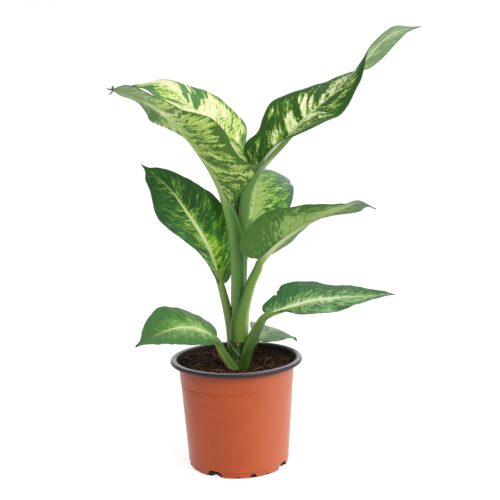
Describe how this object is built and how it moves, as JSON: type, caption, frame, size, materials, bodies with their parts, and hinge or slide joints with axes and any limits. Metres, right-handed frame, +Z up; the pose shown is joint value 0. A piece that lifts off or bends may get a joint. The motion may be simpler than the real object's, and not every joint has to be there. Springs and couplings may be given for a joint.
{
  "type": "potted dieffenbachia",
  "caption": "Young dieffenbachia with variegated leaves on sheathing petioles round a short cane, in a round plastic nursery pot with a rolled rim and drain notches.",
  "frame": {"origin": "on the pot's axis, at the plane the pot stands on", "axes": "+Z up along the pot's axis, +X to the right and +Y away from the viewer of the picture"},
  "size_m": [0.2641, 0.2103, 0.3973],
  "materials": {
    "pot_plastic": "satin terracotta outside, black inside and on the rim",
    "soil": "rough, damp potting mix",
    "cane": "smooth green bark with leaf scars",
    "leaf": "semi-gloss green with cream and yellow-green flecks"
  },
  "bodies": {
    "root": {"pot": "pot_plastic", "soil": "soil", "cane": "cane", "leaf_right_top": "leaf", "leaf_back_top": "leaf", "leaf_left_top": "leaf", "leaf_back_mid": "leaf", "leaf_right_mid": "leaf", "leaf_left_mid": "leaf", "leaf_right_low": "leaf", "leaf_left_front_low": "leaf", "leaf_right_back_low": "leaf"}
  },
  "joints": []
}
